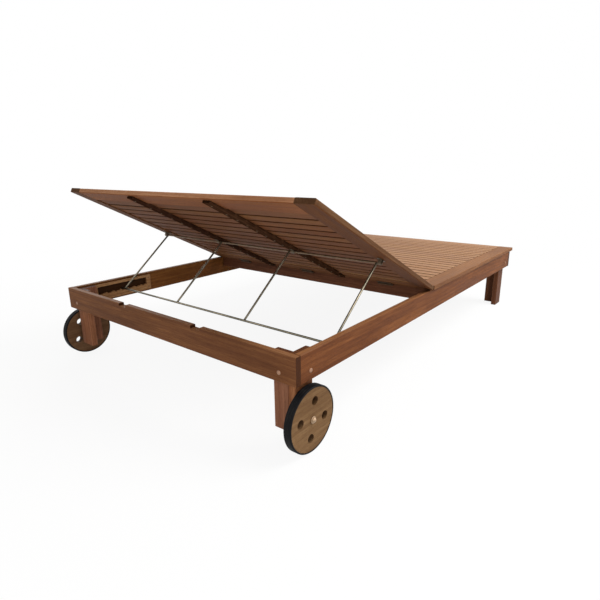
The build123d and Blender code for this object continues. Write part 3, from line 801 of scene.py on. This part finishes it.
def dome(radius, base, rise, steps):
    """The profile of a dome from its top down to its rim."""
    angles = [math.pi / 2 * k / steps for k in range(steps + 1)]
    return [(radius * math.sin(a) if a else 0.0, base + rise * math.cos(a)) for a in angles]


def place_piece(name, mesh, body, material, stands_for=None):
    """Turns a built mesh into a piece that rides on its body."""
    bmesh.ops.recalc_face_normals(mesh, faces=mesh.faces)
    for face in mesh.faces:
        face.smooth = True
    data = bpy.data.meshes.new(name)
    mesh.to_mesh(data)
    mesh.free()
    data.set_sharp_from_angle(angle=SHARP_ANGLE)
    data.materials.append(material)
    piece = bpy.data.objects.new(name, data)
    bpy.context.collection.objects.link(piece)
    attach(piece, body)
    if stands_for:
        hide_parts(stands_for)


def cross_head(mesh, place, radius):
    """A pan head with a cross recess, seated on its place's xy plane."""
    rise = HEAD_RISE * radius
    floor = RECESS_FLOOR * radius
    rings = [[mesh.verts.new(place @ Vector((0.0, 0.0, floor)))]]
    for share, rim in HEAD_RINGS:
        if rim is None:
            arm, lip = math.asin(RECESS_ARM / share), math.asin(RECESS_LIP / share)
            turns = (-lip, -arm, arm, lip, math.pi / 4)
            heights = [rise * (1.0 - HEAD_FALL * share**2)] * len(turns)
            if share < RECESS_REACH:
                heights[1:3] = floor, floor
        else:
            turns = RIM_ANGLES
            heights = [rim * rise if rim else -HEAD_SUNK] * len(turns)
        ring = []
        for quarter in range(4):
            for turn, height in zip(turns, heights):
                angle = turn + quarter * math.pi / 2
                ring.append(mesh.verts.new(place @ around(share * radius, angle, height)))
        rings.append(ring)
    for inner, outer in zip(rings, rings[1:]):
        bridge(mesh, inner, outer)
    mesh.faces.new(rings[-1])


def on_back(x, along, up):
    """A place under the backrest, facing away from it."""
    return BACK @ seat((x, along, up), (0.0, 0.0, -1.0), (0.0, 1.0, 0.0))


def underside(node):
    """How low a node of the backrest reaches, square to the backrest."""
    unplaced = BACK.inverted()
    return min((unplaced @ vertex.co).z for vertex in frame["nodes"][node].data.vertices)


def outer_middles(node, width):
    """The middles in x of a node's outermost pieces, which lie alike on both sides."""
    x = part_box(node)[1].x - width / 2
    return -x, x


def add_screws(material):
    """Screws under the battens, straps and hinges, and on the racks."""
    def screw_group(name, places, radius, body):
        mesh = bmesh.new()
        for number, place in enumerate(places):
            cross_head(mesh, place @ Matrix.Rotation(GOLDEN_ANGLE * number, 4, "Z"), radius)
        place_piece(name, mesh, body, material)

    unplaced = BACK.inverted()
    middles, _ = slat_row(BACK_GROUPS, unplaced)
    rod_along = (unplaced @ ROD).y
    clear = [along for along in middles if abs(along - rod_along) > STRAP_REACH]
    for end in ("hinge", "head"):
        clear.append(sum(spread(f"backrest_border_{end}", unplaced)) / 2)
    batten_under = underside("backrest_batten_left")
    batten_xs = outer_middles("backrest_batten_left", BATTEN_WIDTH)
    places = [on_back(x, along, batten_under) for x in batten_xs for along in clear]
    screw_group(
        "backrest_batten_screws", places, BATTEN_SCREW_RADIUS, "backrest"
    )

    feet = (rod_along - STRAP_FOOT, rod_along + STRAP_FOOT)
    strap_under = batten_under - STRAP_THICKNESS
    stile_under = underside("backrest_stile_left") - STRAP_THICKNESS
    strap_xs = outer_middles("batten_straps", STRAP_WIDTH)
    places = [on_back(x, along, strap_under) for x in strap_xs for along in feet]
    strap_xs = outer_middles("stile_straps", STRAP_WIDTH)
    places += [on_back(x, along, stile_under) for x in strap_xs for along in feet]
    screw_group("strap_screws", places, SMALL_SCREW_RADIUS, "backrest")

    # The hinges' leaves are as thick as the straps
    leaf_middle = (HINGE_LEAF_FROM + HINGE_LEAF_TO) / 2
    right_x, left_x = outer_middles("hinge_leaves_backrest", HINGE_LENGTH)
    xs = [x + step for x in (right_x, 0.0, left_x) for step in HINGE_SCREW_STEPS]
    places = [on_back(x, leaf_middle, stile_under) for x in xs]
    screw_group("hinge_screws", places, HINGE_SCREW_RADIUS, "backrest")

    middles, _ = slat_row(DECK_GROUPS)
    deck_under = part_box("deck_batten_left")[0].z
    places = [
        seat((x, y, deck_under), (0, 0, -1), (0, 1, 0)) for x in batten_xs for y in middles
    ]
    screw_group("deck_batten_screws", places, BATTEN_SCREW_RADIUS, "frame")

    low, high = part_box("rack_left")
    places = []
    for y in (low.y + RACK_FOOT_POST / 2, high.y - RACK_HEAD_POST / 2):
        for z in (low.z + RACK_SCREW_INSET, high.z - RACK_SCREW_INSET):
            places += [seat((side * low.x, y, z), (-side, 0, 0)) for _, side in SIDES]
    screw_group("rack_screws", places, SMALL_SCREW_RADIUS, "frame")


def add_leg_bolts(material):
    """Domed bolts whose threads show past their nuts."""
    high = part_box("leg_bolts")[1]
    head_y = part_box("head_rail")[1].y
    foot_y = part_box("foot_rail")[0].y
    rail_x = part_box("side_rail_left")[1].x
    bolt_z = high.z - BOLT_HEAD_RADIUS
    profile = dome(BOLT_HEAD_RADIUS, 0.0, BOLT_HEAD_RISE, BOLT_DOME_STEPS)
    profile += [(BOLT_RADIUS, 0.0), (BOLT_RADIUS, -BOLT_GRIP)]
    for turn in range(THREAD_TURNS):
        start = -BOLT_GRIP - turn * THREAD_PITCH
        profile.append((BOLT_RADIUS, start - THREAD_CREST_AT * THREAD_PITCH))
        profile.append((THREAD_ROOT * BOLT_RADIUS, start - THREAD_ROOT_AT * THREAD_PITCH))
    profile += [(BOLT_TIP * BOLT_RADIUS, -BOLT_LENGTH), (0.0, -BOLT_LENGTH)]
    mesh = bmesh.new()
    for _, side in SIDES:
        for y in (head_y - SIDE_BOLT_INSET, foot_y + SIDE_BOLT_INSET):
            place = seat((side * rail_x, y, bolt_z), (side, 0, 0))
            lathe(mesh, place, profile, BOLT_SEGMENTS)
        x = side * (rail_x - END_BOLT_INSET)
        for y, outward in ((head_y, 1), (foot_y, -1)):
            lathe(mesh, seat((x, y, bolt_z), (0, outward, 0)), profile, BOLT_SEGMENTS)
    place_piece("domed_leg_bolts", mesh, "frame", material, "leg_bolts")


def add_axles(material):
    """Each axle: a shaft, a washer and a domed cap nut outside the wheel."""
    low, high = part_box("tyre_left")
    hub_y, hub_z = (low.y + high.y) / 2, (low.z + high.z) / 2
    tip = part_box("axle_bolts")[1].x
    base = tip - CAP_CROWN_RISE - CAP_NUT_RISE - CAP_WASHER_RISE
    nut_foot = CAP_WASHER_RISE
    nut_top = nut_foot + CAP_NUT_RISE
    washer = [
        (0.0, 0.0),
        (CAP_WASHER_RADIUS, 0.0),
        (CAP_WASHER_RADIUS, nut_foot - CAP_WASHER_BEVEL),
        (CAP_WASHER_RADIUS - CAP_WASHER_BEVEL, nut_foot),
        (0.0, nut_foot),
    ]
    nut = [
        (0.0, nut_foot),
        (CAP_NUT_RADIUS, nut_foot),
        (CAP_NUT_RADIUS, nut_top - CAP_NUT_BEVEL),
        (CAP_NUT_TOP * CAP_NUT_RADIUS, nut_top),
        (0.0, nut_top),
    ]
    crown = dome(CAP_CROWN_RADIUS, nut_top, CAP_CROWN_RISE, CROWN_STEPS) + [(0.0, nut_top)]
    shaft = [
        (0.0, 0.0),
        (AXLE_RADIUS, 0.0),
        (AXLE_RADIUS, -AXLE_LENGTH + AXLE_BEVEL),
        (AXLE_TIP * AXLE_RADIUS, -AXLE_LENGTH),
        (0.0, -AXLE_LENGTH),
    ]
    mesh = bmesh.new()
    for _, side in SIDES:
        place = seat((side * base, hub_y, hub_z), (side, 0, 0))
        lathe(mesh, place, washer, WASHER_SEGMENTS)
        lathe(mesh, place, nut, CAP_NUT_SIDES)
        lathe(mesh, place, crown, CROWN_SEGMENTS)
        lathe(mesh, place, shaft, BOLT_SEGMENTS)
    place_piece("capped_axles", mesh, "frame", material, "axle_bolts")


def tyre_outline(radius, half):
    """A tyre's cross section, from its inner rim over the tread and back."""
    inner = radius - TYRE_THICKNESS
    centre = radius - TYRE_SHOULDER
    flat = half - TYRE_SHOULDER
    steps = range(TYRE_SHOULDER_STEPS + 1)
    arc = [math.pi / 2 * k / TYRE_SHOULDER_STEPS for k in steps]
    quarter = [(TYRE_SHOULDER * math.cos(a), TYRE_SHOULDER * math.sin(a)) for a in arc]
    outline = [(inner, -half)]
    outline += [(centre + out, -flat - along) for along, out in quarter]
    for groove in GROOVE_PLACES:
        outline += [
            (radius, groove - GROOVE_HALF),
            (radius - GROOVE_DEPTH, groove - GROOVE_FLOOR * GROOVE_HALF),
            (radius - GROOVE_DEPTH, groove + GROOVE_FLOOR * GROOVE_HALF),
            (radius, groove + GROOVE_HALF),
        ]
    outline += [(centre + out, flat + along) for out, along in quarter]
    return outline + [(inner, half)]


def add_tyres():
    """Solid tyres with rounded shoulders and two fine grooves round the tread."""
    for side_name, side in SIDES:
        node = f"tyre_{side_name}"
        low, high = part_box(node)
        outline = tyre_outline((high.z - low.z) / 2, (high.x - low.x) / 2)
        mesh = bmesh.new()
        place = seat((low + high) / 2, (side, 0, 0))
        lathe(mesh, place, outline, TYRE_SEGMENTS, closed=True)
        material = rubber(f"rubber_{side_name}")
        place_piece(f"grooved_{node}", mesh, f"wheel_{side_name}", material, node)


def add_welds(material):
    """A bead round each end of each strut, fuller on its lower side."""
    profile = []
    for step in range(WELD_STEPS + 1):
        share = step / WELD_STEPS
        inside = 0 < step < WELD_STEPS
        swell = math.sin(math.pi * share) ** WELD_ROUNDNESS if inside else 0.0
        reach = ROD_RADIUS * (WELD_TOE + WELD_SWELL * swell)
        profile.append((reach, WELD_START + WELD_WIDTH * share))
    profile = [(0.0, profile[0][1]), *profile, (0.0, profile[-1][1])]
    bar_low, bar_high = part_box("prop_rest_bar")

    mesh = bmesh.new()
    for number in range(1, 5):
        def bulge(angle, number=number):
            lower = 0.5 - 0.5 * math.cos(angle)
            ripple = WELD_RIPPLE * math.sin(WELD_RIPPLES * angle + number)
            return WELD_SAG * lower * (1.0 + ripple)

        low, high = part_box(f"prop_strut_{number}")
        x = (low.x + high.x) / 2
        top = Vector((x, ROD.y, ROD.z))
        foot = (bar_low + bar_high) / 2
        foot.x = x
        for start, end in ((top, foot), (foot, top)):
            lathe(mesh, seat(start, end - start), profile, WELD_SEGMENTS, bulge=bulge)
    place_piece("strut_welds", mesh, "prop", material)


def add_camera():
    a, e, roll = CAMERA_AZIMUTH, CAMERA_ELEVATION, CAMERA_ROLL
    back = Vector((math.sin(a) * math.cos(e), -math.cos(a) * math.cos(e), math.sin(e)))
    right = Vector((math.cos(a), math.sin(a), 0.0))
    up = back.cross(right)
    rolled_right = right * math.cos(roll) + up * math.sin(roll)
    rolled_up = up * math.cos(roll) - right * math.sin(roll)
    data = bpy.data.cameras.new("camera")
    data.lens = CAMERA_LENS
    data.sensor_width = SENSOR
    data.sensor_fit = "HORIZONTAL"
    camera = bpy.data.objects.new("camera", data)
    turn = Matrix((rolled_right, rolled_up, back)).transposed().to_4x4()
    camera.matrix_world = Matrix.Translation(CAMERA_PLACE) @ turn
    bpy.context.collection.objects.link(camera)
    bpy.context.scene.camera = camera


def add_floor():
    """A pale floor that shows white to the camera and keeps the shadow."""
    mesh = bpy.data.meshes.new("floor")
    reach = FLOOR_REACH
    corners = [(-reach, -reach, 0), (reach, -reach, 0), (reach, reach, 0), (-reach, reach, 0)]
    mesh.from_pydata(corners, [], [(0, 1, 2, 3)])
    floor = bpy.data.objects.new("floor", mesh)
    bpy.context.collection.objects.link(floor)
    nodes = Nodes("floor")
    lit = nodes.add("ShaderNodeBsdfDiffuse", {"Color": FLOOR_COLOUR}).outputs[0]
    glow = nodes.add("ShaderNodeEmission", {"Color": WHITE, "Strength": 1.0}).outputs[0]
    path = nodes.add("ShaderNodeLightPath").outputs
    seen = nodes.math("MAXIMUM", path["Is Camera Ray"], path["Is Glossy Ray"])
    seen = nodes.math("MAXIMUM", seen, path["Is Transmission Ray"])
    away = nodes.vector("LENGTH", nodes.place())
    seen = nodes.times(seen, nodes.range(away, *FLOOR_FADE, FLOOR_WHITENESS, 1.0))
    blend = nodes.add("ShaderNodeMixShader", {0: seen, 1: lit, 2: glow}).outputs[0]
    nodes.add("ShaderNodeOutputMaterial", {"Surface": blend})
    mesh.materials.append(nodes.material)


def add_world():
    """White where it is seen or mirrored, soft light elsewhere."""
    world = bpy.data.worlds.new("studio")
    world.use_nodes = True
    bpy.context.scene.world = world
    tree = world.node_tree
    tree.nodes.clear()
    path = tree.nodes.new("ShaderNodeLightPath")
    seen = path.outputs["Is Camera Ray"]
    for ray in ("Is Glossy Ray", "Is Transmission Ray"):
        either = tree.nodes.new("ShaderNodeMath")
        either.operation = "MAXIMUM"
        tree.links.new(seen, either.inputs[0])
        tree.links.new(path.outputs[ray], either.inputs[1])
        seen = either.outputs[0]
    strength = tree.nodes.new("ShaderNodeMapRange")
    strength.inputs["To Min"].default_value = WORLD_LIGHT
    tree.links.new(seen, strength.inputs["Value"])
    background = tree.nodes.new("ShaderNodeBackground")
    background.inputs["Color"].default_value = WHITE
    tree.links.new(strength.outputs[0], background.inputs["Strength"])
    output = tree.nodes.new("ShaderNodeOutputWorld")
    tree.links.new(background.outputs[0], output.inputs["Surface"])


def add_lamp(name, place, target, size, power):
    data = bpy.data.lights.new(name, "AREA")
    data.shape = "SQUARE"
    data.size = size
    data.energy = power
    lamp = bpy.data.objects.new(name, data)
    direction = Vector(target) - Vector(place)
    lamp.location = place
    lamp.rotation_mode = "QUATERNION"
    lamp.rotation_quaternion = direction.to_track_quat("-Z", "Y")
    bpy.context.collection.objects.link(lamp)


add_camera()
dress_frame_wood()
dress_deck()
dress_backrest()
dress_wheels()
steels = make_steels()
add_screws(steels["screw_steel"])
add_leg_bolts(steels["bolt_steel"])
add_axles(steels["cap_steel"])
add_tyres()
add_welds(steels["weld_steel"])
add_floor()
add_world()
for lamp_name, settings in LAMPS.items():
    add_lamp(lamp_name, *settings)

bpy.context.scene.view_settings.view_transform = "Standard"
